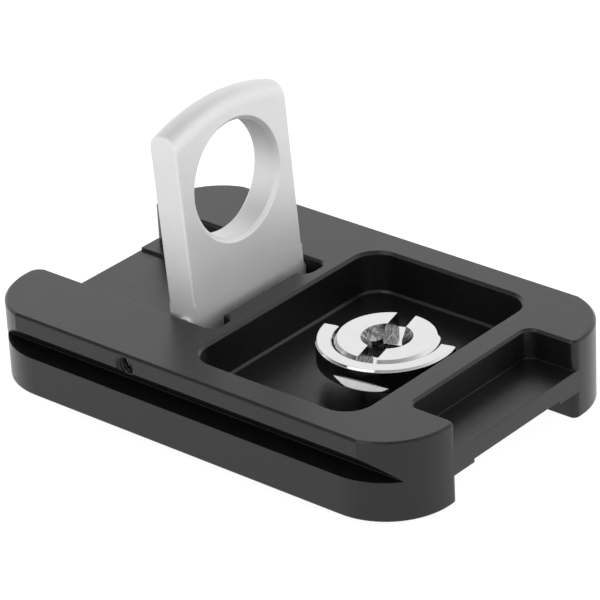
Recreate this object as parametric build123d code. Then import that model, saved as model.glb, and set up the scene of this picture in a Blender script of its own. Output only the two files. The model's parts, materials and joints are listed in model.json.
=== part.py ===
from build123d import *
import math
import os

# Tripod quick release plate with a flip-up ring tab and a camera screw with a folding bail.
# Millimetres. X runs along the plate, away from the tab. Y runs across it. Z is up.
# The origin is the middle of the camera side, which faces down. The clamp side faces up.

# Plate outline
plate_length = 58.9
flange_width = 38.0
body_overhang = 0.3
corner_radius = 8.0
plate_height = 9.25

# Dovetail grooves along both long sides
flange_face_height = 2.0
groove_depth = 2.65

# Edge breaks
outer_chamfer = 0.25
pocket_chamfer = 0.3
bottom_chamfer = 0.15
floor_chamfer = 0.25

# Rail noses, where the recess and the notches leave the ends
nose_flat = 0.4

# Recess for the tab, open at the left end
recess_rail_width = 9.65
recess_end_x = -5.05
recess_floor_z = 4.25
relief_width = 3.25
relief_reach = 1.45
relief_length = 4.35
relief_radius = 1.0
ledge_rise = 0.3
ledge_width = 2.05

# Pocket round the camera screw
pocket_left_x = -1.9
pocket_right_x = 20.15
pocket_rail_width = 3.72
pocket_radius = 3.0
pocket_floor_z = 4.25

# Notches above and below the web at the right end
notch_depth = 6.1
notch_rail_width = 8.9
notch_radius = 1.2
web_top_z = 5.8
web_bottom_z = 3.2
web_relief = 0.4

# Flip-up tab
tab_side_gap = 0.45
tab_thickness = 3.7
tab_front_offset = 1.45
tab_lean_deg = 4.05
tab_crown_height = 23.85
tab_crown_radius = 25.8
tab_hole_radius = 6.5
tab_hole_height = 14.35
tab_crown_fillet = 1.65
tab_side_chamfer = 0.15
tab_rim_chamfer = 0.42
tab_foot_radius = 2.45
lug_reach = 3.4
lug_clearance = 0.3
boss_radius = 1.4
boss_gap = 0.1

# Hinge of the tab
pin_x = -7.8
pin_z = 7.75
pin_radius = 1.0
pin_clearance = 0.06
pin_far_reach = 4.1
pin_end_gap = 0.05
pin_chamfer = 0.2
set_screw_radius = 1.25
set_screw_clearance = 0.02
set_screw_sink = 1.3
set_screw_length = 2.6
set_screw_chamfer = 0.25
set_screw_hex = 1.3
set_screw_socket = 1.2

# Camera screw, a quarter inch across its thread
screw_x = 12.45
screw_radius = 3.175
screw_clearance = 0.075
head_radius = 5.65
head_height = 2.7
head_rise = 0.05
head_chamfer = 0.35
screw_travel = 2.25
thread_proud = 4.2
tip_chamfer = 0.6
slot_width = 2.15
slot_depth = 1.85
dish_radius = 2.8
hex_across = 3.2
hex_depth = 3.2
screw_turn_deg = 15.0

# Retaining clip in its counterbore on the camera side
lip_thickness = 1.1
bore_radius = 5.0
clip_radius = 4.5
clip_thickness = 0.4
clip_groove_radius = 2.6
clip_running_gap = 0.1
clip_radial_gap = 0.08
clip_mouth = 3.4

# Bail round the head
bail_gap = 0.2
bail_width = 1.75
bail_end_reach = 0.6
bail_chamfer = 0.2
bail_top_sink = 0.05
bail_pin_radius = 0.5
bail_pin_clearance = 0.05
bail_pin_cover = 0.3
bail_pin_depth = 1.1

# How far a cutting shape runs past the face that it opens
overshoot = 1.0

# Dependent sizes
half_length = plate_length / 2
half_flange = flange_width / 2
half_body = half_flange + body_overhang
flange_under_z = plate_height - flange_face_height
neck_half_width = half_flange - groove_depth
shelf_z = flange_under_z - groove_depth
recess_half_width = half_flange - recess_rail_width
ledge_inner_y = recess_half_width - ledge_width
tongue_half_width = recess_half_width - relief_width
relief_end_x = recess_end_x + relief_reach
pocket_half_width = half_flange - pocket_rail_width
notch_half_width = half_flange - notch_rail_width
notch_wall_x = half_length - notch_depth
corner_start_y = half_body - corner_radius
recess_nose_radius = corner_start_y - recess_half_width - nose_flat
notch_nose_radius = corner_start_y - notch_half_width - nose_flat
tab_half_width = recess_half_width - tab_side_gap
head_top_z = plate_height + head_rise
head_bottom_z = head_top_z - head_height
thread_tip_z = screw_travel - thread_proud
clip_top_z = pocket_floor_z - lip_thickness - clip_running_gap
bail_inner = head_radius + bail_gap
bail_outer = bail_inner + bail_width
bail_pin_z = head_bottom_z + head_height / 2
set_screw_start_y = -half_body + body_overhang + set_screw_sink
set_screw_end_y = set_screw_start_y + set_screw_length
screw_place = Pos(screw_x, 0, 0) * Rot(0, 0, screw_turn_deg)
hinge_place = Pos(pin_x, 0, pin_z) * Rot(0, -tab_lean_deg, 0)


def y_rod(radius, y_from, y_to):
    """A round bar along the hinge axis between two places across the plate."""
    along_y = Plane(origin=(pin_x, y_from, pin_z), x_dir=(1, 0, 0), z_dir=(0, 1, 0))
    return extrude(along_y * Circle(radius), y_to - y_from)


def slab(x_from, x_to, half_width, z_from, z_to, radius=0.0):
    """A block centred across the plate, with upright edges rounded where a radius is given."""
    flat = Rectangle(x_to - x_from, 2 * half_width)
    if radius > 0:
        flat = fillet(flat.vertices(), radius)
    return Pos((x_from + x_to) / 2, 0, z_from) * extrude(flat, z_to - z_from)


def plate_blank():
    """The plate with rounded corners and a dovetail groove along each long side."""
    outline = RectangleRounded(plate_length, 2 * half_body, corner_radius)
    lower = extrude(outline, shelf_z)
    flange = outline & Rectangle(plate_length + overshoot, flange_width)
    upper = Pos(0, 0, shelf_z) * extrude(flange, plate_height - shelf_z)
    beyond = half_body + overshoot
    points = [
        (neck_half_width, shelf_z),
        (half_flange, flange_under_z),
        (beyond, flange_under_z),
        (beyond, shelf_z - overshoot),
        (neck_half_width, shelf_z - overshoot),
    ]
    groove = extrude(Plane.YZ * make_face(Polyline(points, close=True)), half_length + overshoot, both=True)
    upper -= groove + mirror(groove, about=Plane.XZ)
    return lower + upper


def tab_recess():
    """The recess that the tab folds into, with a round relief in each inner corner."""
    outside = half_length + overshoot
    open_top = plate_height + overshoot
    lug_room_end_x = recess_end_x - relief_reach
    cut = slab(-outside, recess_end_x, recess_half_width, recess_floor_z + ledge_rise, open_top)
    cut += slab(-outside, lug_room_end_x, ledge_inner_y, recess_floor_z, open_top)
    relief = fillet(Rectangle(relief_length, relief_width).vertices(), relief_radius)
    middle_y = (recess_half_width + tongue_half_width) / 2
    for side in (-1, 1):
        place = Pos(relief_end_x - relief_length / 2, side * middle_y, recess_floor_z)
        cut += place * extrude(relief, open_top - recess_floor_z)
    cut += slab(relief_end_x - 2 * relief_length, lug_room_end_x, recess_half_width, recess_floor_z, open_top)
    return cut


def end_notches():
    """The notch above the web and the one below it, open at the right end."""
    outside = half_length + 2 * notch_radius
    open_top = plate_height + overshoot
    relieved_x = notch_wall_x + notch_radius
    above = slab(notch_wall_x, outside, notch_half_width, web_top_z, open_top, notch_radius)
    below = slab(notch_wall_x, outside, notch_half_width, -overshoot, web_bottom_z, notch_radius)
    thin = slab(relieved_x, outside, ledge_inner_y, web_bottom_z - overshoot, web_bottom_z + web_relief)
    return above + below + thin


def plate_bores():
    """The hinge pin's bores, the tapped hole that closes them and the camera screw's bore."""
    pin_bore = pin_radius + pin_clearance
    cut = y_rod(set_screw_radius, -half_body - overshoot, set_screw_end_y)
    cut += y_rod(pin_bore, set_screw_end_y - pin_end_gap, overshoot - recess_half_width)
    cut += y_rod(pin_bore, recess_half_width - overshoot, recess_half_width + pin_far_reach)
    below = Pos(screw_x, 0, -overshoot)
    cut += below * extrude(Circle(screw_radius + screw_clearance), pocket_floor_z + 2 * overshoot)
    cut += below * extrude(Circle(bore_radius), pocket_floor_z - lip_thickness + overshoot)
    return cut


def break_edges(body):
    """Chamfers on the top and bottom outlines and round the pocket's floor."""
    top = body.faces().sort_by(Axis.Z)[-1]
    body = chamfer(top.inner_wires()[0].edges(), pocket_chamfer)
    top = body.faces().sort_by(Axis.Z)[-1]
    body = chamfer(top.outer_wire().edges(), outer_chamfer)
    floor = [f for f in body.faces().filter_by(Axis.Z)
             if abs(f.center().Z - pocket_floor_z) < 0.01 and f.center().X > 0]
    body = chamfer(floor[0].outer_wire().edges(), floor_chamfer)
    underside = body.faces().sort_by(Axis.Z)[0]
    return chamfer(underside.outer_wire().edges(), bottom_chamfer)


def round_noses(body, end_x, half_width, radius):
    """Round the upright corners where a recess or notch of one half width opens at an end."""
    noses = [e for e in body.edges().filter_by(Axis.Z)
             if abs(e.center().X - end_x) < 0.05 and abs(abs(e.center().Y) - half_width) < 0.05]
    return fillet(noses, radius)


def make_plate():
    body = plate_blank() - tab_recess() - end_notches()
    open_top = plate_height + overshoot
    body -= slab(pocket_left_x, pocket_right_x, pocket_half_width, pocket_floor_z, open_top, pocket_radius)
    body = round_noses(body, -half_length, recess_half_width, recess_nose_radius)
    body = round_noses(body, half_length, notch_half_width, notch_nose_radius)
    return break_edges(body) - plate_bores()


def tab_outline():
    """The tab seen from its front face, with the hinge axis at the origin."""
    half = tab_half_width
    drop = tab_crown_radius - math.sqrt(tab_crown_radius**2 - half**2)
    shoulder = tab_crown_height - drop
    sides = Polyline((-half, shoulder), (-half, 0), (half, 0), (half, shoulder))
    crown = ThreePointArc((half, shoulder), (0, tab_crown_height), (-half, shoulder))
    return make_face(sides + crown)


def tab_foot():
    """The foot below the hinge axis: a round middle between two lugs that stand on the floor."""
    half = tab_half_width
    back = tab_thickness - tab_front_offset
    across = Plane(origin=(0, -half, 0), x_dir=(1, 0, 0), z_dir=(0, 1, 0))
    middle = extrude(across * Circle(tab_foot_radius), 2 * half)
    lug_width = half - tongue_half_width - lug_clearance
    lug = extrude(across * Circle(lug_reach), lug_width)
    level = Rot(0, tab_lean_deg, 0) * Pos(lug_reach / 2, -half + lug_width / 2, -lug_reach / 2)
    lug += level * Box(lug_reach, lug_width, lug_reach)
    lugs = lug + mirror(lug, about=Plane.XZ)
    within = Pos((tab_front_offset - back) / 2, 0, 0) * Box(tab_thickness, 2 * half, 3 * lug_reach)
    return (middle + lugs) & within


def make_tab():
    upright = Plane(origin=(tab_front_offset, 0, 0), x_dir=(0, 1, 0), z_dir=(1, 0, 0))
    blade = extrude(upright * tab_outline(), -tab_thickness)
    crown = [e for e in blade.edges().filter_by(GeomType.CIRCLE) if abs(e.radius - tab_crown_radius) < 0.01]
    blade = fillet(crown, tab_crown_fillet)
    sides = [e for f in blade.faces().filter_by(Axis.Y) for e in f.edges() if e.center().Z > 0.01]
    blade = chamfer(sides, tab_side_chamfer)
    blade += tab_foot()
    blade -= Pos(0, 0, tab_hole_height) * Rot(0, 90, 0) * Cylinder(tab_hole_radius, 3 * tab_thickness)
    rims = [e for e in blade.edges().filter_by(GeomType.CIRCLE) if abs(e.radius - tab_hole_radius) < 0.01]
    blade = chamfer(rims, tab_rim_chamfer)
    boss_half = recess_half_width - boss_gap
    tab = hinge_place * blade + y_rod(boss_radius, -boss_half, boss_half)
    return tab - y_rod(pin_radius, -half_body, half_body)


def make_set_screw():
    """The headless screw that closes the pin's bore, with a hexagon socket in its outer end."""
    body = y_rod(set_screw_radius - set_screw_clearance, set_screw_start_y, set_screw_end_y)
    body = chamfer(body.edges().filter_by(GeomType.CIRCLE), set_screw_chamfer)
    mouth = Plane(origin=(pin_x, set_screw_start_y, pin_z), x_dir=(1, 0, 0), z_dir=(0, 1, 0))
    socket = extrude(mouth * RegularPolygon(set_screw_hex / 2, 6, major_radius=False), set_screw_socket)
    return body - socket


def make_hinge_pin():
    """The pin that the tab is pressed on, from the set screw to the far rail's blind bore."""
    pin = y_rod(pin_radius, set_screw_end_y + pin_end_gap, recess_half_width + pin_far_reach - pin_end_gap)
    return chamfer(pin.edges().filter_by(GeomType.CIRCLE), pin_chamfer)


def head_recesses():
    """The straight slot, the round dish and the hexagon socket in the head's top."""
    above_z = head_top_z + overshoot
    slot_height = slot_depth + overshoot
    slot = Pos(0, 0, above_z - slot_height / 2) * Box(slot_width, 3 * head_radius, slot_height)
    dish_depth = dish_radius - hex_across / 2
    dish = Pos(0, 0, head_top_z - dish_depth / 2) * Cone(dish_radius - dish_depth, dish_radius, dish_depth)
    flats = RegularPolygon(hex_across / 2, 6, major_radius=False)
    socket = Pos(0, 0, head_top_z - hex_depth) * extrude(flats, hex_depth + overshoot)
    return slot + dish + socket


def make_screw():
    """The camera screw: a slotted disc head on a shank, with a groove for the clip."""
    groove_bottom = clip_top_z - clip_thickness - clip_running_gap
    groove_top = clip_top_z + clip_running_gap
    points = [
        (0, thread_tip_z),
        (screw_radius - tip_chamfer, thread_tip_z),
        (screw_radius, thread_tip_z + tip_chamfer),
        (screw_radius, groove_bottom),
        (clip_groove_radius, groove_bottom),
        (clip_groove_radius, groove_top),
        (screw_radius, groove_top),
        (screw_radius, head_bottom_z),
        (head_radius, head_bottom_z),
        (head_radius, head_top_z - head_chamfer),
        (head_radius - head_chamfer, head_top_z),
        (0, head_top_z),
    ]
    turned = revolve(Plane.XZ * make_face(Polyline(points, close=True)), Axis.Z)
    turned -= head_recesses()
    reach = bail_pin_depth + overshoot
    for side in (-1, 1):
        hole = Rot(0, 90, 0) * Cylinder(bail_pin_radius + bail_pin_clearance, reach)
        turned -= Pos(side * (head_radius - bail_pin_depth + reach / 2), 0, bail_pin_z) * hole
    return screw_place * turned


def make_clip():
    """The open retaining ring that keeps the screw in the plate."""
    flat = Circle(clip_radius) - Circle(clip_groove_radius + clip_radial_gap)
    flat -= Pos(clip_radius, 0) * Rectangle(2 * clip_radius, clip_mouth)
    return Pos(screw_x, 0, clip_top_z - clip_thickness) * extrude(flat, clip_thickness)


def make_bail():
    """The flat C-shaped bail that folds round the near side of the head."""
    ring = Circle(bail_outer) - Circle(bail_inner)
    keep = Pos(0, bail_end_reach - bail_outer) * Rectangle(3 * bail_outer, 2 * bail_outer)
    top_z = head_top_z - bail_top_sink
    bail = Pos(0, 0, head_bottom_z) * extrude(ring & keep, top_z - head_bottom_z)
    flats = bail.faces().filter_by(Axis.Z)
    bail = chamfer([e for f in flats for e in f.edges()], bail_chamfer)
    for side in (-1, 1):
        hole = Rot(0, 90, 0) * Cylinder(bail_pin_radius, 2 * bail_width)
        bail -= Pos(side * (bail_outer - bail_pin_cover - bail_width), 0, bail_pin_z) * hole
    return screw_place * bail


def make_bail_pin(side):
    """One of the two short pins that carry the bail in the head."""
    inner = head_radius - bail_pin_depth + bail_pin_clearance
    outer = bail_outer - bail_pin_cover
    pin = Rot(0, 90, 0) * Cylinder(bail_pin_radius, outer - inner)
    return screw_place * Pos(side * (inner + outer) / 2, 0, bail_pin_z) * pin


pieces = {
    "plate_body": make_plate(),
    "flip_tab": make_tab(),
    "hinge_pin": make_hinge_pin(),
    "pin_set_screw": make_set_screw(),
    "camera_screw": make_screw(),
    "retaining_clip": make_clip(),
    "screw_bail": make_bail(),
    "bail_pin_left": make_bail_pin(-1),
    "bail_pin_right": make_bail_pin(1),
}

os.makedirs("parts", exist_ok=True)
for name, shape in pieces.items():
    export_step(shape, f"parts/{name}.step")
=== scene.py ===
"""Looks of a tripod quick release plate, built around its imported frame.

Every object is in metres, in the frame's own axes: X runs along the plate, away from the tab,
Y runs across it and Z is up. The camera side faces down.
"""
import json
import logging
import math
from dataclasses import dataclass
from enum import Enum
from typing import Callable, Optional, Union

import bmesh
import bpy
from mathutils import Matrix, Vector

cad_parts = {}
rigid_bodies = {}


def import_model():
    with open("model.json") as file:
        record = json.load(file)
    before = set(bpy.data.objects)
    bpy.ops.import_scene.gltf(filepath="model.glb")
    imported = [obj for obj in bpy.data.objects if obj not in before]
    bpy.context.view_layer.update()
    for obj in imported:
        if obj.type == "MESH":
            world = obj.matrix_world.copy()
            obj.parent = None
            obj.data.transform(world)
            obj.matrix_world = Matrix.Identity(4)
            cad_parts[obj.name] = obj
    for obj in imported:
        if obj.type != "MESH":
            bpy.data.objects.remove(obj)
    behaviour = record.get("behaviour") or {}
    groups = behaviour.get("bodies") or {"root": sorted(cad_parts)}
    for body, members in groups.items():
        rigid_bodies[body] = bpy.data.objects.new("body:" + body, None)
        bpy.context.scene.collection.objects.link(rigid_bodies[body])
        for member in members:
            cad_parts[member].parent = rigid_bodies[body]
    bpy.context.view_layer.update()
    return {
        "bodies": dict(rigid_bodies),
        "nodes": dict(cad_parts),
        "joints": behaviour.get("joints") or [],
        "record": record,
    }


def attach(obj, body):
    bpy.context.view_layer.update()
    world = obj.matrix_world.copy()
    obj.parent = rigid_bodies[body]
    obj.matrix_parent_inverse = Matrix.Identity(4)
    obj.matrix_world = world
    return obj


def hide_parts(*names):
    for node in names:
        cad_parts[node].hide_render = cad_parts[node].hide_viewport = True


LOG = logging.getLogger("plate")
MM = 0.001
# Points nearer than this, in metres, are merged: in a finished mesh, and along a cut.
MERGE = 1e-6
CUT_MERGE = 1e-8
# The mean of a noise, and its octaves with little and with much fine detail.
MIDDLE = 0.5
PLAIN = 2.0
RICH = 3.0
Number = Union[int, float]
Span = tuple[float, float]
Triple = tuple[float, float, float]
EVEN: Triple = (1.0, 1.0, 1.0)
UNTURNED: Triple = (0.0, 0.0, 0.0)
WHITE = (1.0, 1.0, 1.0, 1.0)


class Sock:
    """A value socket of a shader tree, so that maths on it is written as Python.

    Args:
        graph: The tree that new nodes are added to.
        socket: The output socket that holds the value.
    """

    def __init__(self, graph: "Graph", socket: bpy.types.NodeSocket) -> None:
        """Keep the tree and the socket."""
        self.graph = graph
        self.socket = socket

    def _math(self, operation: str, *others: "Sock | Number",
              first: "Sock | Number | None" = None) -> "Sock":
        """Add one Math node.

        Args:
            operation: The Math node's operation.
            others: The operands after the first.
            first: The first operand, or None for this socket.

        Returns:
            The node's value.
        """
        lead = self if first is None else first
        values = dict(enumerate((lead, *others)))
        return self.graph.node("ShaderNodeMath", {"operation": operation}, values)

    def __add__(self, other: "Sock | Number") -> "Sock":
        """Sum of the two."""
        return self._math("ADD", other)

    __radd__ = __add__

    def __sub__(self, other: "Sock | Number") -> "Sock":
        """Difference of the two."""
        return self._math("SUBTRACT", other)

    def __rsub__(self, other: Number) -> "Sock":
        """Difference, with the plain number first."""
        return self._math("SUBTRACT", self, first=other)

    def __mul__(self, other: "Sock | Number") -> "Sock":
        """Product of the two."""
        return self._math("MULTIPLY", other)

    __rmul__ = __mul__

    def __truediv__(self, other: "Sock | Number") -> "Sock":
        """Quotient of the two."""
        return self._math("DIVIDE", other)

    def minimum(self, other: "Sock | Number") -> "Sock":
        """The smaller of the two."""
        return self._math("MINIMUM", other)

    def maximum(self, other: "Sock | Number") -> "Sock":
        """The larger of the two."""
        return self._math("MAXIMUM", other)

    def clamped(self) -> "Sock":
        """This value, kept between 0 and 1."""
        return self.maximum(0.0).minimum(1.0)

    def swing(self, amount: float) -> "Sock":
        """A noise from 0 to 1 made to swing about nought, by an amount from end to end."""
        return (self - MIDDLE) * amount

    def above(self, edge: float, soft: float) -> "Sock":
        """A soft step that is 1 above an edge.

        Args:
            edge: Where the step starts.
            soft: How far it takes to reach 1.

        Returns:
            The step.
        """
        return ((self - edge) / soft).clamped()

    def dot(self, other: "Sock | Triple") -> "Sock":
        """Dot product of two vectors."""
        settings = {"operation": "DOT_PRODUCT"}
        return self.graph.node("ShaderNodeVectorMath", settings, {0: self, 1: other}, "Value")


class Graph:
    """A shader tree, with one method that adds any node.

    Args:
        tree: The tree to fill.
    """

    def __init__(self, tree: bpy.types.NodeTree) -> None:
        """Empty the tree."""
        self.tree = tree
        self.tree.nodes.clear()

    def node(self, kind: str, settings: Optional[dict] = None, inputs: Optional[dict] = None,
             out: Union[int, str] = 0) -> Optional[Sock]:
        """Add one node of any kind.

        Args:
            kind: The node's type name.
            settings: Properties set first.
            inputs: Values or links by socket name or number.
            out: The output that is returned.

        Returns:
            The chosen output, or None for a node that has none.
        """
        made = self.tree.nodes.new(kind)
        for key, value in (settings or {}).items():
            setattr(made, key, value)
        for key, value in (inputs or {}).items():
            self.feed(made.inputs[key], value)
        return Sock(self, made.outputs[out]) if made.outputs else None

    def feed(self, target: bpy.types.NodeSocket, value: object) -> None:
        """Link a socket or set a plain value on it.

        Args:
            target: The socket that is fed.
            value: A socket to link, or the plain value.
        """
        if isinstance(value, Sock):
            self.tree.links.new(value.socket, target)
        else:
            target.default_value = value


class SurfaceGraph(Graph):
    """The shader tree of one material, with its surface shader.

    Args:
        name: The material's name.
    """

    # A Mix node's colour sockets share their names with its other kinds, so they go by number.
    MIX_A = 6
    MIX_B = 7
    MIX_RESULT = 2
    BEVEL_SAMPLES = 6

    def __init__(self, name: str) -> None:
        """Start an empty material with its surface shader.

        Args:
            name: The material's name.
        """
        self.material = bpy.data.materials.new(name)
        self.material.use_nodes = True
        super().__init__(self.material.node_tree)
        output = self.tree.nodes.new("ShaderNodeOutputMaterial")
        self.shader = self.tree.nodes.new("ShaderNodeBsdfPrincipled")
        self.tree.links.new(self.shader.outputs["BSDF"], output.inputs["Surface"])

    def set(self, **values: object) -> None:
        """Feed sockets of the surface shader, named with underscores for spaces."""
        for key, value in values.items():
            self.feed(self.shader.inputs[key.replace("_", " ")], value)

    def place(self, scale: Triple = EVEN, turn: Triple = UNTURNED) -> Sock:
        """Object coordinates, turned and scaled.

        Args:
            scale: Scale along each axis.
            turn: Turn about each axis, in degrees.

        Returns:
            The coordinates.
        """
        raw = self.node("ShaderNodeTexCoord", out="Object")
        radians = [math.radians(angle) for angle in turn]
        inputs = {"Vector": raw, "Rotation": radians, "Scale": list(scale)}
        return self.node("ShaderNodeMapping", {}, inputs)

    def noise(self, size: float, detail: float = PLAIN, stretch: Triple = EVEN,
              turn: Triple = UNTURNED) -> Sock:
        """Noise whose blotches are about one size across.

        Args:
            size: Size of a blotch in metres.
            detail: Octaves of finer noise.
            stretch: Scale along each axis; a small value draws the noise out.
            turn: Turn of the pattern in degrees.

        Returns:
            The noise, from 0 to 1.
        """
        inputs = {"Vector": self.place(stretch, turn), "Scale": 1.0 / size, "Detail": detail}
        return self.node("ShaderNodeTexNoise", {}, inputs)

    def tones(self, value: Sock, low: "Sock | float", high: "Sock | float") -> Sock:
        """A colour between two, by a value.

        Args:
            value: Mixing value from 0 to 1.
            low: Grey or colour at 0.
            high: Grey or colour at 1.

        Returns:
            The colour.
        """
        ends = [end if isinstance(end, Sock) else (end, end, end, 1.0) for end in (low, high)]
        inputs = {"Factor": value, self.MIX_A: ends[0], self.MIX_B: ends[1]}
        return self.node("ShaderNodeMix", {"data_type": "RGBA"}, inputs, self.MIX_RESULT)

    def bump(self, height: Sock, depth: float, strength: float, under: Sock) -> Sock:
        """A bump from a height between 0 and 1.

        Args:
            height: The height.
            depth: Metres between heights 0 and 1.
            strength: Strength of the effect.
            under: The normal that the bump lies on.

        Returns:
            The bent normal.
        """
        inputs = {"Height": height, "Distance": depth, "Strength": strength, "Normal": under}
        return self.node("ShaderNodeBump", {}, inputs)

    def rounded(self, radius: float) -> Sock:
        """The normal with every edge eased by a small radius in metres."""
        return self.node("ShaderNodeBevel", {"samples": self.BEVEL_SAMPLES}, {"Radius": radius})

    def edges(self, eased: Sock, soft: float) -> Sock:
        """Where an eased normal leaves the face's own, which is along the edges.

        Args:
            eased: The eased normal.
            soft: How far the normals part where the result reaches 1.

        Returns:
            The mask, from 0 to 1.
        """
        own = self.node("ShaderNodeNewGeometry", out="Normal")
        return ((1 - eased.dot(own)) / soft).clamped()


@dataclass(frozen=True)
class BlackAnodised:
    """Satin black anodised aluminium, blasted before it was dyed.

    Args:
        name: The material's name.
        dye: Grey of the dyed skin.
        dye_low: Darkest dye, as a share of that grey.
        dye_high: Lightest dye, as a share of that grey.
        worn: Grey of the skin where handling has thinned it along an edge.
        wear_start: Blotch value from which an edge wears.
        wear_gain: How fast the wear sets in above it.
        roughness: Roughness of the open faces.
        grain_rough: Swing of the roughness over the grain.
        smear_rough: Swing of the roughness over the smears.
        ior: Refraction of the sealed skin.
        grain: Size of the blasted grain in metres.
        grain_share: Share of the grain in the dye's variation; the blotches have the rest.
        grain_depth: Depth of the grain in metres.
        grain_strength: Strength of the grain's bump.
        blotch: Size of the broad blotches in metres.
        smear: Size of the smears in metres.
        smear_stretch: Scale of the smears along each axis.
        smear_turn: Turn of the smears in degrees.
        edge: Radius of the eased edges in metres.
        edge_soft: How far the normals part where an edge counts in full.
    """

    name: str = "black_anodised"
    dye: float = 0.005
    dye_low: float = 0.6
    dye_high: float = 1.5
    worn: float = 0.030
    wear_start: float = 0.30
    wear_gain: float = 2.2
    roughness: float = 0.30
    grain_rough: float = 0.16
    smear_rough: float = 0.08
    ior: float = 1.42
    grain: float = 0.13 * MM
    grain_share: float = 0.6
    grain_depth: float = 0.016 * MM
    grain_strength: float = 0.9
    blotch: float = 6 * MM
    smear: float = 2.5 * MM
    smear_stretch: Triple = (1.0, 0.35, 1.0)
    smear_turn: Triple = (0.0, 0.0, 20.0)
    edge: float = 0.14 * MM
    edge_soft: float = 0.06

    def build(self) -> bpy.types.Material:
        """Make the material.

        Returns:
            The finished material.
        """
        g = SurfaceGraph(self.name)
        fine = g.noise(self.grain, RICH)
        broad = g.noise(self.blotch, RICH)
        smears = g.noise(self.smear, PLAIN, self.smear_stretch, self.smear_turn)
        eased = g.rounded(self.edge)
        rub = (g.edges(eased, self.edge_soft) * (broad - self.wear_start) * self.wear_gain).clamped()
        mottle = (fine * self.grain_share + broad * (1 - self.grain_share)).clamped()
        skin = g.tones(mottle, self.dye * self.dye_low, self.dye * self.dye_high)
        rough = fine.swing(self.grain_rough) + smears.swing(self.smear_rough) + self.roughness
        g.set(Base_Color=g.tones(rub, skin, self.worn), Roughness=rough, Metallic=0.0, IOR=self.ior,
              Normal=g.bump(fine, self.grain_depth, self.grain_strength, eased))
        return g.material


@dataclass(frozen=True)
class BlastedAluminium:
    """Bead-blasted aluminium with a clear anodised skin.

    Args:
        name: The material's name.
        tone: Grey of the metal.
        tone_low: Darkest grey, as a share of the tone.
        tone_high: Lightest grey, as a share of the tone.
        edge_tone: Grey that the rubbed edges tend to.
        edge_share: How far they reach it.
        edge_rough: How much smoother the edges are.
        roughness: Mean roughness.
        grain_rough: Swing of the roughness over the grain.
        metal: How far the skin mirrors as metal does, and not as a pale clear coat.
        grain: Size of a blasted dimple in metres.
        grain_share: Share of the grain in the grey's variation; the clouds have the rest.
        dimple_depth: Depth of a dimple in metres.
        dimple_strength: Strength of the dimples' bump.
        dimple_blend: How softly one dimple runs into the next.
        cloud: Size of the broad clouds in metres.
        edge: Radius of the eased edges in metres.
        edge_soft: How far the normals part where an edge counts in full.
    """

    name: str = "blasted_aluminium"
    tone: float = 0.68
    tone_low: float = 0.86
    tone_high: float = 1.10
    edge_tone: float = 0.86
    edge_share: float = 0.5
    edge_rough: float = 0.10
    roughness: float = 0.50
    grain_rough: float = 0.14
    metal: float = 0.55
    grain: float = 0.16 * MM
    grain_share: float = 0.65
    dimple_depth: float = 0.012 * MM
    dimple_strength: float = 0.8
    dimple_blend: float = 0.6
    cloud: float = 4 * MM
    edge: float = 0.22 * MM
    edge_soft: float = 0.10

    def build(self) -> bpy.types.Material:
        """Make the material.

        Returns:
            The finished material.
        """
        g = SurfaceGraph(self.name)
        fine = g.noise(self.grain, RICH)
        cells = {"Vector": g.place(), "Scale": 1.0 / self.grain, "Smoothness": self.dimple_blend}
        dimples = g.node("ShaderNodeTexVoronoi", {"feature": "SMOOTH_F1"}, cells, "Distance")
        broad = g.noise(self.cloud)
        eased = g.rounded(self.edge)
        bright = g.edges(eased, self.edge_soft)
        mottle = (fine * self.grain_share + broad * (1 - self.grain_share)).clamped()
        tone = g.tones(mottle, self.tone * self.tone_low, self.tone * self.tone_high)
        rough = fine.swing(self.grain_rough) - bright * self.edge_rough + self.roughness
        g.set(Base_Color=g.tones(bright * self.edge_share, tone, self.edge_tone), Roughness=rough,
              Metallic=self.metal,
              Normal=g.bump(dimples, self.dimple_depth, self.dimple_strength, eased))
        return g.material


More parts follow.
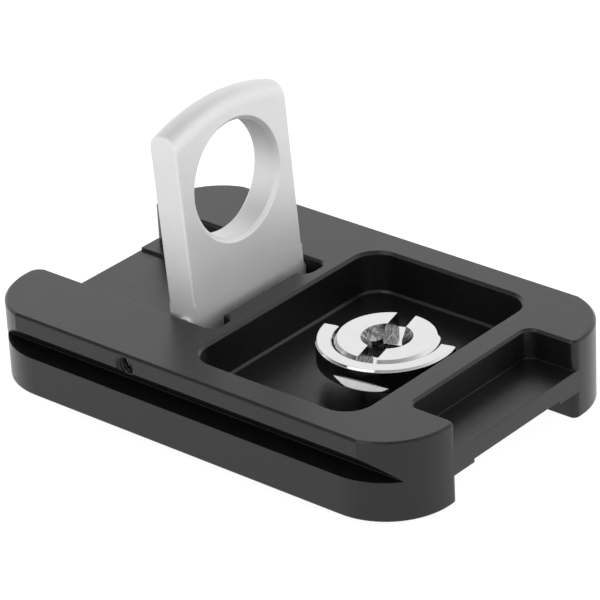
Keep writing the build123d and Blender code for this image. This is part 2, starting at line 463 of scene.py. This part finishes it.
@dataclass(frozen=True)
class PolishedSteel:
    """Bright polished steel with a faint haze and hairline scratches.

    Args:
        name: The material's name.
        tone: Grey of the metal.
        tone_low: Darkest grey, as a share of the tone.
        tone_high: Lightest grey, as a share of the tone.
        roughness: Mean roughness.
        haze_rough: Swing of the roughness over the haze.
        scratch_rough: Swing of the roughness over the scratches.
        haze: Size of the haze's blotches in metres.
        scratch: Width of the scratches in metres.
        scratch_stretch: Scale of the scratches along each axis.
        scratch_turn: Turn of the scratches in degrees.
        scratch_share: Share of the scratches among the marks; the crossing ones have the rest.
        cross: Width of the crossing scratches in metres.
        cross_stretch: Scale of the crossing scratches along each axis.
        cross_turn: Turn of the crossing scratches in degrees.
        scratch_depth: Depth of the scratches in metres.
        scratch_strength: Strength of the scratches' bump.
        edge: Radius of the eased edges in metres.
    """

    name: str = "polished_steel"
    tone: float = 0.57
    tone_low: float = 0.95
    tone_high: float = 1.04
    roughness: float = 0.09
    haze_rough: float = 0.06
    scratch_rough: float = 0.05
    haze: float = 1.5 * MM
    scratch: float = 0.5 * MM
    scratch_stretch: Triple = (0.05, 1.0, 1.0)
    scratch_turn: Triple = (0.0, 0.0, 25.0)
    scratch_share: float = 0.6
    cross: float = 0.6 * MM
    cross_stretch: Triple = (1.0, 0.05, 1.0)
    cross_turn: Triple = (0.0, 0.0, -35.0)
    scratch_depth: float = 0.0010 * MM
    scratch_strength: float = 0.4
    edge: float = 0.10 * MM

    def build(self) -> bpy.types.Material:
        """Make the material.

        Returns:
            The finished material.
        """
        g = SurfaceGraph(self.name)
        haze = g.noise(self.haze, RICH)
        lines = g.noise(self.scratch, PLAIN, self.scratch_stretch, self.scratch_turn)
        cross = g.noise(self.cross, PLAIN, self.cross_stretch, self.cross_turn)
        marks = (lines * self.scratch_share + cross * (1 - self.scratch_share)).clamped()
        tone = g.tones(haze, self.tone * self.tone_low, self.tone * self.tone_high)
        rough = haze.swing(self.haze_rough) + marks.swing(self.scratch_rough) + self.roughness
        eased = g.rounded(self.edge)
        g.set(Base_Color=tone, Roughness=rough, Metallic=1.0,
              Normal=g.bump(marks, self.scratch_depth, self.scratch_strength, eased))
        return g.material


@dataclass(frozen=True)
class ShadedBroachedSteel:
    """Dull, scored steel of the walls and slopes of the slot, the dish and the socket in the head,
    darkened with painted shade of those recesses.

    Args:
        name: The material's name.
        dark: Grey of the hollows of the scores and blotches, which is painted shade.
        bright: Grey of the rubbed ridges.
        score_gain: How much the scores change the grey.
        blotch_gain: How much the blotches change it.
        threshold: What is taken off the two, so that the hollows carry the painted shade.
        edge_gain: How much an edge brightens.
        roughness: Mean roughness.
        score_rough: Swing of the roughness over the scores.
        score: Width of a score in metres.
        score_stretch: Scale of the scores along each axis.
        score_depth: Depth of a score in metres.
        score_strength: Strength of the scores' bump.
        blotch: Size of the blotches in metres.
        edge: Radius of the eased edges in metres.
        edge_soft: How far the normals part where an edge counts in full.
    """

    name: str = "broached_steel_painted_shade"
    dark: float = 0.04
    bright: float = 0.58
    score_gain: float = 1.3
    blotch_gain: float = 1.7
    threshold: float = 1.25
    edge_gain: float = 0.8
    roughness: float = 0.26
    score_rough: float = 0.2
    score: float = 0.14 * MM
    score_stretch: Triple = (1.0, 1.0, 0.22)
    score_depth: float = 0.012 * MM
    score_strength: float = 0.7
    blotch: float = 0.55 * MM
    edge: float = 0.09 * MM
    edge_soft: float = 0.12

    def build(self) -> bpy.types.Material:
        """Make the material.

        Returns:
            The finished material.
        """
        g = SurfaceGraph(self.name)
        scores = g.noise(self.score, RICH, self.score_stretch)
        blotches = g.noise(self.blotch, RICH)
        eased = g.rounded(self.edge)
        # The low marks, the hollows of the scores and blotches, take the painted shade; the high
        # marks and the edges are the lighter rubbed steel.
        marks = scores * self.score_gain + blotches * self.blotch_gain - self.threshold
        rubbed = (marks + g.edges(eased, self.edge_soft) * self.edge_gain).clamped()
        g.set(Base_Color=g.tones(rubbed, self.dark, self.bright),
              Roughness=scores.swing(self.score_rough) + self.roughness, Metallic=1.0,
              Normal=g.bump(scores, self.score_depth, self.score_strength, eased))
        return g.material


@dataclass(frozen=True)
class TurnedSteel:
    """Plain turned steel of the small pieces, with fine rings of the tool.

    Args:
        name: The material's name.
        tone: Grey of the metal.
        tone_low: Darkest grey, as a share of the tone.
        tone_high: Lightest grey, as a share of the tone.
        roughness: Mean roughness.
        line_rough: Swing of the roughness over the rings.
        line: Width of the tool's rings in metres.
        line_stretch: Scale of the rings along each axis.
        line_share: Share of the rings in the grey's variation; the haze has the rest.
        line_depth: Depth of a ring in metres.
        line_strength: Strength of the rings' bump.
        haze: Size of the haze's blotches in metres.
        edge: Radius of the eased edges in metres.
    """

    name: str = "plain_steel"
    tone: float = 0.50
    tone_low: float = 0.80
    tone_high: float = 1.15
    roughness: float = 0.27
    line_rough: float = 0.16
    line: float = 0.25 * MM
    line_stretch: Triple = (1.0, 0.06, 1.0)
    line_share: float = 0.5
    line_depth: float = 0.002 * MM
    line_strength: float = 0.5
    haze: float = 0.9 * MM
    edge: float = 0.05 * MM

    def build(self) -> bpy.types.Material:
        """Make the material.

        Returns:
            The finished material.
        """
        g = SurfaceGraph(self.name)
        lines = g.noise(self.line, PLAIN, self.line_stretch)
        haze = g.noise(self.haze)
        mottle = (lines * self.line_share + haze * (1 - self.line_share)).clamped()
        tone = g.tones(mottle, self.tone * self.tone_low, self.tone * self.tone_high)
        eased = g.rounded(self.edge)
        g.set(Base_Color=tone, Roughness=lines.swing(self.line_rough) + self.roughness, Metallic=1.0,
              Normal=g.bump(lines, self.line_depth, self.line_strength, eased))
        return g.material


class Finish(Enum):
    """The finishes that a piece can be given."""

    BLACK = BlackAnodised()
    BLASTED = BlastedAluminium()
    POLISHED = PolishedSteel()
    BROACHED = ShadedBroachedSteel()
    TURNED = TurnedSteel()


class Finisher:
    """Builds each finish once and puts it on pieces."""

    def __init__(self) -> None:
        """Start with no finish built."""
        self.built: dict[Finish, bpy.types.Material] = {}

    def material(self, finish: Finish) -> bpy.types.Material:
        """The finish's material, built on its first use.

        Args:
            finish: The finish.

        Returns:
            Its material.
        """
        if finish not in self.built:
            self.built[finish] = finish.value.build()
        return self.built[finish]

    def dress(self, obj: bpy.types.Object, finish: Finish) -> None:
        """Put one finish on a whole object.

        Args:
            obj: The object.
            finish: The finish.
        """
        material = self.material(finish)
        if not obj.material_slots:
            obj.data.materials.append(material)
        for slot in obj.material_slots:
            slot.material = material
        LOG.info("dressed %s in %s", obj.name, material.name)


class Bench:
    """The steps at the bench that the modelled pieces share."""

    @staticmethod
    def split_finish(obj: bpy.types.Object, material: bpy.types.Material,
                     test: Callable[[Vector, Vector], bool]) -> None:
        """Give the faces whose centre and normal pass a test a finish of their own.

        Args:
            obj: The object, which has its main finish.
            material: The finish of the picked faces.
            test: What picks a face, from its centre and its normal.
        """
        obj.data.materials.append(material)
        index = len(obj.data.materials) - 1
        for face in obj.data.polygons:
            if test(face.center, face.normal):
                face.material_index = index

    @staticmethod
    def focus(*objects: bpy.types.Object) -> None:
        """Select only these objects and make the first one active.

        Args:
            objects: The objects.
        """
        bpy.ops.object.select_all(action="DESELECT")
        for obj in objects:
            obj.select_set(True)
        bpy.context.view_layer.objects.active = objects[0]

    @staticmethod
    def start(name: str, add: Callable[..., set], **sizes: object) -> bpy.types.Object:
        """Add one primitive at its size and place.

        Args:
            name: The new object's name.
            add: The primitive's operator.
            sizes: What the operator is given.

        Returns:
            The new object.
        """
        bpy.ops.object.select_all(action="DESELECT")
        add(**sizes)
        obj = bpy.context.object
        obj.name = obj.data.name = name
        bpy.ops.object.transform_apply(location=True, rotation=True, scale=True)
        return obj

    @staticmethod
    def edit(obj: bpy.types.Object) -> None:
        """Open one object in edit mode with all of it selected.

        Args:
            obj: The object.
        """
        Bench.focus(obj)
        bpy.ops.object.mode_set(mode="EDIT")
        bpy.ops.mesh.select_mode(type="VERT")
        bpy.ops.mesh.select_all(action="SELECT")

    @staticmethod
    def close() -> None:
        """Leave edit mode."""
        bpy.ops.object.mode_set(mode="OBJECT")

    @staticmethod
    def pick_edges(obj: bpy.types.Object, test: Callable[[Vector], bool]) -> None:
        """Select the edges whose two ends both pass a test.

        Args:
            obj: The object, which is in edit mode.
            test: What an end has to pass, from its place.
        """
        bpy.ops.mesh.select_mode(type="EDGE")
        bpy.ops.mesh.select_all(action="DESELECT")
        mesh = bmesh.from_edit_mesh(obj.data)
        for edge in mesh.edges:
            if all(test(vert.co) for vert in edge.verts):
                edge.select_set(True)
        bmesh.update_edit_mesh(obj.data)

    @staticmethod
    def cut(obj: bpy.types.Object, point: Triple, beyond: Triple) -> None:
        """Cut an object by a plane, drop what lies beyond it and close the cut.

        Args:
            obj: The object.
            point: A point of the plane.
            beyond: The direction of the side that is dropped.
        """
        Bench.edit(obj)
        bpy.ops.mesh.bisect(plane_co=point, plane_no=beyond, use_fill=True, clear_outer=True,
                            threshold=CUT_MERGE)
        Bench.close()

    @staticmethod
    def combine(obj: bpy.types.Object, other: bpy.types.Object, operation: str) -> None:
        """Apply a Boolean with another object, and remove that object.

        Args:
            obj: The object that is changed.
            other: The object that it is combined with.
            operation: UNION, DIFFERENCE or INTERSECT.
        """
        step = obj.modifiers.new(operation.lower(), "BOOLEAN")
        step.operation = operation
        step.solver = "EXACT"
        step.object = other
        Bench.focus(obj)
        bpy.ops.object.modifier_apply(modifier=step.name)
        bpy.data.objects.remove(other)

    @staticmethod
    def sweep(obj: bpy.types.Object, angle: float, steps: int, lift: float, turns: int) -> None:
        """Turn an open profile about the upright axis, with an equal climb each turn.

        Args:
            obj: The profile.
            angle: The angle of one turn in degrees.
            steps: Steps in one turn.
            lift: The climb of one turn in metres.
            turns: How many turns.
        """
        step = obj.modifiers.new("sweep", "SCREW")
        step.axis = "Z"
        step.angle = math.radians(angle)
        step.steps = step.render_steps = steps
        step.screw_offset = lift
        step.iterations = turns
        Bench.focus(obj)
        bpy.ops.object.modifier_apply(modifier=step.name)

    @staticmethod
    def finish(obj: bpy.types.Object, smooth_deg: float = 30.0) -> None:
        """Merge doubles, point the faces outwards and smooth the shallow edges.

        Args:
            obj: The object.
            smooth_deg: Edges under this angle are shaded smooth.
        """
        Bench.edit(obj)
        bpy.ops.mesh.remove_doubles(threshold=MERGE)
        bpy.ops.mesh.select_all(action="SELECT")
        bpy.ops.mesh.normals_make_consistent(inside=False)
        Bench.close()
        bpy.ops.object.shade_smooth_by_angle(angle=math.radians(smooth_deg))

    @staticmethod
    def copy(node: bpy.types.Object, name: str) -> bpy.types.Object:
        """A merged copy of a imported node, with its own mesh.

        Args:
            node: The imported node.
            name: The copy's name.

        Returns:
            The copy.
        """
        obj = node.copy()
        obj.data = node.data.copy()
        obj.name = obj.data.name = name
        bpy.context.collection.objects.link(obj)
        Bench.focus(obj)
        bpy.ops.mesh.customdata_custom_splitnormals_clear()
        Bench.finish(obj)
        return obj


@dataclass(frozen=True)
class ThreadedRod:
    """A right-handed screw thread on a solid rod that stands on the upright axis.

    Args:
        crest_radius: Radius over the crests.
        root_radius: Radius in the grooves.
        pitch: Climb of one turn.
        low: Height of the lower end.
        high: Height of the upper end.
        steps: Steps in one turn.
        flat_share: Width of a crest and of a root, as a share of the pitch.
        early: Turns that start below the lower end, so that the cut there meets the full thread.
        spare_turns: Turns added to those between the two ends.
    """

    crest_radius: float
    root_radius: float
    pitch: float
    low: float
    high: float
    steps: int = 56
    flat_share: float = 1 / 8
    early: float = 1.1
    spare_turns: int = 3

    def build(self, name: str) -> bpy.types.Object:
        """Model the rod.

        Args:
            name: The rod's name.

        Returns:
            A closed rod with its thread.
        """
        flat = self.pitch * self.flat_share
        rise = self.pitch / 2 - flat
        depth = self.crest_radius - self.root_radius
        start = (self.root_radius, 0.0, self.low - self.early * self.pitch)
        rod = Bench.start(name, bpy.ops.mesh.primitive_plane_add, size=self.pitch, location=start)
        Bench.edit(rod)
        bpy.ops.mesh.merge(type="CENTER")
        for step in ((0.0, 0.0, flat), (depth, 0.0, rise), (0.0, 0.0, flat), (-depth, 0.0, rise)):
            bpy.ops.mesh.extrude_vertices_move(TRANSFORM_OT_translate={"value": step})
        Bench.close()
        turns = math.ceil((self.high - self.low) / self.pitch) + self.spare_turns
        Bench.sweep(rod, 360.0, self.steps, self.pitch, turns)
        Bench.finish(rod)
        Bench.cut(rod, (0.0, 0.0, self.low), (0.0, 0.0, -1.0))
        Bench.cut(rod, (0.0, 0.0, self.high), (0.0, 0.0, 1.0))
        Bench.finish(rod)
        return rod


@dataclass
class CameraScrew:
    """The captive camera screw: its slotted head and its quarter inch thread.

    Args:
        place_x: The screw's axis along the plate.
        thread_radius: Radius over the thread's crests.
        root_radius: Radius in the thread's grooves.
        pitch: Climb of one turn, twenty to the inch.
        tip_z: Height of the tip.
        tip_chamfer: Chamfer at the tip.
        groove_z: Height of the lower side of the clip's groove.
        overlap: How far the thread runs into the collar below the groove.
        head_top_z: Height of the head's top.
        head_radius: Radius of the head.
        slot_floor_z: Height of the slot's floor.
        slot_half_width: Half the slot's width.
        dish_radius: Radius of the dish at the top.
        socket_z: Height of the socket's floor.
        turn: How far the head is turned in the plate.
        blank_sides: Sides of the blank that gives the tip its chamfer.
        blank_over: How far the blank stands outside the thread's crests.
        slope_normal: Upward part of a normal from which a face belongs to the dish.
        floor_normal: Upward part of a normal from which a face is a floor or a top.
    """

    place_x: float = 12.45 * MM
    thread_radius: float = 3.175 * MM
    root_radius: float = 2.47 * MM
    pitch: float = 1.27 * MM
    tip_z: float = -1.95 * MM
    tip_chamfer: float = 0.6 * MM
    groove_z: float = 2.55 * MM
    overlap: float = 0.12 * MM
    head_top_z: float = 9.3 * MM
    head_radius: float = 5.65 * MM
    slot_floor_z: float = 7.45 * MM
    slot_half_width: float = 1.075 * MM
    dish_radius: float = 2.8 * MM
    socket_z: float = 6.1 * MM
    turn: float = math.radians(15.0)
    blank_sides: int = 112
    blank_over: float = 0.012 * MM
    slope_normal: float = 0.2
    floor_normal: float = 0.9

    def thread(self) -> bpy.types.Object:
        """Model the thread, with its tip chamfered by a plain blank.

        Returns:
            The thread, on the screw's axis.
        """
        top = self.groove_z - self.overlap / 2
        thread = ThreadedRod(self.thread_radius, self.root_radius, self.pitch, self.tip_z, top)
        rod = thread.build("camera_thread")
        blank = Bench.start("thread_blank", bpy.ops.mesh.primitive_cylinder_add,
                            vertices=self.blank_sides, radius=self.thread_radius + self.blank_over,
                            depth=2 * (top - self.tip_z), location=(0.0, 0.0, top))
        Bench.edit(blank)
        Bench.pick_edges(blank, lambda co: co.z < self.tip_z + MERGE)
        bpy.ops.mesh.bevel(offset=self.tip_chamfer, segments=1, affect="EDGES")
        Bench.close()
        Bench.combine(rod, blank, "INTERSECT")
        Bench.edit(rod)
        bpy.ops.transform.translate(value=(self.place_x, 0.0, 0.0))
        Bench.close()
        Bench.finish(rod)
        return rod

    def build(self, frame: dict, finisher: Finisher) -> None:
        """Model the screw around its packed head and dress it.

        Args:
            frame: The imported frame.
            finisher: What puts the finishes on.
        """
        screw = Bench.copy(frame["nodes"]["camera_screw"], "camera_screw_threaded")
        Bench.cut(screw, (0.0, 0.0, self.groove_z - self.overlap), (0.0, 0.0, -1.0))
        thread = self.thread()
        Bench.focus(screw, thread)
        bpy.ops.object.join()
        Bench.finish(screw)
        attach(screw, "screw")
        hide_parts("camera_screw")
        finisher.dress(screw, Finish.POLISHED)
        # The walls and slopes of the recesses get the darker scored finish: rougher steel, darkened
        # with painted shade of the recesses.
        Bench.split_finish(screw, finisher.material(Finish.BROACHED), self.recessed)
        LOG.info("camera screw: %d faces", len(screw.data.polygons))

    def recessed(self, centre: Vector, normal: Vector) -> bool:
        """Whether a face lies in the slot, the dish or the socket of the head.

        Args:
            centre: The face's centre.
            normal: The face's normal.

        Returns:
            True for a face of the recesses.
        """
        out = Vector((centre.x - self.place_x, centre.y, 0.0))
        along = Vector((-math.sin(self.turn), math.cos(self.turn), 0.0))
        beside = (out - along * out.dot(along)).length
        in_head = self.slot_floor_z - MERGE < centre.z < self.head_top_z - MERGE
        in_slot = in_head and beside < self.slot_half_width + MERGE and out.length < self.head_radius
        faces_in = normal.dot(out) < MERGE or normal.z > self.slope_normal
        in_dish = centre.z > self.socket_z - MERGE and out.length < self.dish_radius and faces_in
        return (in_slot or in_dish) and normal.z < self.floor_normal


@dataclass
class NotchedBail:
    """The bail, with the fingernail notch in its outer side.

    Args:
        place_x: The screw's axis along the plate.
        toward_deg: Where the notch lies round the axis.
        tilt_deg: How far the notch leans along the side.
        lean_deg: How steeply the notch's upper face rises.
        depth_radius: How near to the axis the notch reaches.
        height: Height of the middle of the bar.
        bar: Side of the square bar that cuts it.
        bar_length: Length of that bar.
    """

    place_x: float = 12.45 * MM
    toward_deg: float = -75.0
    tilt_deg: float = -4.0
    lean_deg: float = 37.0
    depth_radius: float = 6.89 * MM
    height: float = 7.15 * MM
    bar: float = 2.6 * MM
    bar_length: float = 9.0 * MM

    def build(self, frame: dict, finisher: Finisher) -> None:
        """Cut the notch with the edge of a square bar, and dress the bail.

        Args:
            frame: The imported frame.
            finisher: What puts the finishes on.
        """
        bail = Bench.copy(frame["nodes"]["screw_bail"], "screw_bail_notched")
        toward = math.radians(self.toward_deg)
        reach = self.depth_radius + self.bar / math.sqrt(2)
        place = (self.place_x + reach * math.cos(toward), reach * math.sin(toward), self.height)
        turn = (math.radians(self.lean_deg), math.radians(self.tilt_deg), toward - math.pi / 2)
        cutter = Bench.start("notch_cutter", bpy.ops.mesh.primitive_cube_add, size=self.bar,
                             location=place, rotation=turn,
                             scale=(self.bar_length / self.bar, 1.0, 1.0))
        Bench.combine(bail, cutter, "DIFFERENCE")
        Bench.finish(bail)
        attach(bail, "bail")
        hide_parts("screw_bail")
        finisher.dress(bail, Finish.POLISHED)
        LOG.info("bail: %d faces", len(bail.data.polygons))


@dataclass
class HingeScrewHole:
    """The thread that shows in the set screw's hole, in the near side of the plate.

    Args:
        place_x: The hole's axis along the plate.
        place_z: The height of the hole's axis.
        sleeve_radius: Radius of the sleeve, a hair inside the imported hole.
        crest_radius: Radius of the thread's crests, which stand inwards.
        root_radius: Radius of the thread's grooves.
        pitch: Climb of one turn.
        flange_y: Place of the plate's near flange face.
        end_y: Place of the set screw's outer end.
        slope_sum: Place plus height on the groove's slope, the same all over it.
        skin: How far the sleeve stays behind the plate's faces.
        sleeve_sides: Sides of the sleeve.
        tap_steps: Steps in one turn of the tap.
    """

    place_x: float = -7.8 * MM
    place_z: float = 7.75 * MM
    sleeve_radius: float = 1.246 * MM
    crest_radius: float = 1.04 * MM
    root_radius: float = 1.22 * MM
    pitch: float = 0.45 * MM
    flange_y: float = -19.0 * MM
    end_y: float = -17.72 * MM
    slope_sum: float = -11.75 * MM
    skin: float = 0.02 * MM
    sleeve_sides: int = 64
    tap_steps: int = 40

    def build(self, finisher: Finisher) -> None:
        """Tap a thin sleeve, lay it in the hole and trim it to the plate's faces.

        Args:
            finisher: What puts the finishes on.
        """
        length = self.end_y - self.flange_y
        middle = (self.place_x, self.end_y - length / 2, self.place_z)
        sleeve = Bench.start("set_screw_thread", bpy.ops.mesh.primitive_cylinder_add,
                             vertices=self.sleeve_sides, radius=self.sleeve_radius, depth=length,
                             location=middle, rotation=(math.pi / 2, 0.0, 0.0))
        Bench.cut(sleeve, (0.0, self.flange_y + self.skin, 0.0), (0.0, -1.0, 0.0))
        Bench.cut(sleeve, (0.0, self.slope_sum + self.skin, 0.0), (0.0, -1.0, -1.0))
        thread = ThreadedRod(self.root_radius, self.crest_radius, self.pitch, -length, length,
                             self.tap_steps)
        tap = thread.build("tap")
        Bench.edit(tap)
        bpy.ops.transform.rotate(value=math.pi / 2, orient_axis="X",
                                 center_override=(0.0, 0.0, 0.0))
        bpy.ops.transform.translate(value=middle)
        Bench.close()
        Bench.combine(sleeve, tap, "DIFFERENCE")
        Bench.finish(sleeve)
        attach(sleeve, "plate")
        finisher.dress(sleeve, Finish.BLACK)
        LOG.info("set screw thread: %d faces", len(sleeve.data.polygons))


@dataclass
class PackedPieces:
    """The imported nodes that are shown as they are, each with its finish.

    Args:
        black: The nodes in black anodised aluminium.
        blasted: The nodes in blasted aluminium.
        turned: The small nodes in turned steel.
    """

    black: tuple[str, ...] = ("plate_body",)
    blasted: tuple[str, ...] = ("flip_tab",)
    turned: tuple[str, ...] = ("hinge_pin", "pin_set_screw", "retaining_clip", "bail_pin_left",
                               "bail_pin_right")

    def dress(self, frame: dict, finisher: Finisher) -> None:
        """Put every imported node's finish on it.

        Args:
            frame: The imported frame.
            finisher: What puts the finishes on.
        """
        groups = {Finish.BLACK: self.black, Finish.BLASTED: self.blasted, Finish.TURNED: self.turned}
        for finish, names in groups.items():
            for name in names:
                finisher.dress(frame["nodes"][name], finish)


@dataclass
class Studio:
    """A pale floor, soft light all round and the camera of the photograph.

    Args:
        floor_drop: Depth of the floor under the camera side, in metres.
        floor_size: Side of the floor, in metres.
        floor_grey: Grey of the floor.
        floor_roughness: Roughness of the floor.
        camera_place: The camera's place in metres.
        camera_turn: The camera's turn about X, Y and Z, in degrees.
        focal_px: Focal length in pixels of the frame.
        centre_px: Optical centre in pixels of the frame.
        frame_px: Width of the frame in pixels.
        sensor_mm: Width of the camera's sensor in millimetres.
        near_clip: Nearest distance that the camera sees, in metres.
        far_clip: Farthest distance that the camera sees, in metres.
        sky: Brightness of the surroundings near the horizon.
        dimmest: Least share of that brightness in any direction.
        lid: How much darker the surroundings are overhead.
        lid_edge: Height, as a sine, where they start to darken, and how softly.
        front: How much darker they are in front, above the camera's left.
        front_toward: The level direction of that darker part.
        front_height: Height where it starts, and how softly.
        front_side: How near to its direction it starts, and how softly.
        softbox: Brightness of the soft box above the near side.
        softbox_toward: The direction of the soft box.
        softbox_edge: How near to its direction the soft box starts, and how softly.
        glow: Light that the floor gives by itself, as on a light table.
    """

    floor_drop: float = 1.96 * MM
    floor_size: float = 6.0
    floor_grey: float = 0.25
    floor_roughness: float = 0.9
    camera_place: Triple = (0.22324394, -0.25348104, 0.1867123)
    camera_turn: Triple = (62.317428, 2.61639217, 39.88621396)
    focal_px: float = 3561.2723
    centre_px: tuple[float, float] = (302.2519, 300.2107)
    frame_px: float = 600.0
    sensor_mm: float = 36.0
    near_clip: float = 0.01
    far_clip: float = 20.0
    sky: float = 1.36
    dimmest: float = 0.05
    lid: float = 0.60
    lid_edge: Span = (0.62, 0.25)
    front: float = 0.75
    front_toward: Triple = (-0.65, -0.76, 0.0)
    front_height: Span = (0.38, 0.18)
    front_side: Span = (0.25, 0.25)
    softbox: float = 2.2
    softbox_toward: Triple = (-0.192, -0.550, 0.812)
    softbox_edge: Span = (0.955, 0.012)
    glow: float = 0.93

    def camera(self) -> None:
        """Place the camera at the photograph's viewing angle."""
        data = bpy.data.cameras.new("camera")
        data.sensor_width = self.sensor_mm
        data.lens = self.focal_px / self.frame_px * self.sensor_mm
        half = self.frame_px / 2
        data.shift_x = (half - self.centre_px[0]) / self.frame_px
        data.shift_y = (self.centre_px[1] - half) / self.frame_px
        data.clip_start = self.near_clip
        data.clip_end = self.far_clip
        obj = bpy.data.objects.new("camera", data)
        obj.location = self.camera_place
        obj.rotation_euler = [math.radians(angle) for angle in self.camera_turn]
        bpy.context.collection.objects.link(obj)
        bpy.context.scene.camera = obj

    def floor(self) -> None:
        """Lay a wide pale floor under the lowest point."""
        obj = Bench.start("floor", bpy.ops.mesh.primitive_plane_add, size=self.floor_size,
                          location=(0.0, 0.0, -self.floor_drop))
        g = SurfaceGraph("pale_floor")
        grey = (self.floor_grey, self.floor_grey, self.floor_grey, 1.0)
        g.set(Base_Color=grey, Roughness=self.floor_roughness, Emission_Color=WHITE,
              Emission_Strength=self.glow)
        obj.data.materials.append(g.material)

    def surroundings(self) -> None:
        """Fill the surroundings with plain light that dims overhead and in front."""
        world = bpy.data.worlds.new("studio")
        world.use_nodes = True
        g = Graph(world.node_tree)
        direction = g.node("ShaderNodeTexCoord", out="Generated")
        height = direction.dot((0.0, 0.0, 1.0))
        lid = height.above(*self.lid_edge)
        ahead = direction.dot(self.front_toward).above(*self.front_side)
        front = height.above(*self.front_height) * ahead
        box = direction.dot(self.softbox_toward).above(*self.softbox_edge)
        share = (1 - lid * self.lid - front * self.front).maximum(self.dimmest)
        strength = share * self.sky + box * self.softbox
        light = g.node("ShaderNodeBackground", {}, {"Color": WHITE, "Strength": strength})
        g.node("ShaderNodeOutputWorld", {}, {"Surface": light})
        bpy.context.scene.world = world

    def build(self) -> None:
        """Set up the whole studio."""
        self.camera()
        self.floor()
        self.surroundings()
        bpy.context.scene.view_settings.view_transform = "Standard"
        LOG.info("studio ready")


def main() -> None:
    """Build the pieces, dress the frame and set up the studio."""
    logging.basicConfig(level=logging.INFO, format="%(name)s: %(message)s")
    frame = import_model()
    finisher = Finisher()
    PackedPieces().dress(frame, finisher)
    CameraScrew().build(frame, finisher)
    NotchedBail().build(frame, finisher)
    HingeScrewHole().build(finisher)
    Studio().build()


if __name__ == "__main__":
    main()
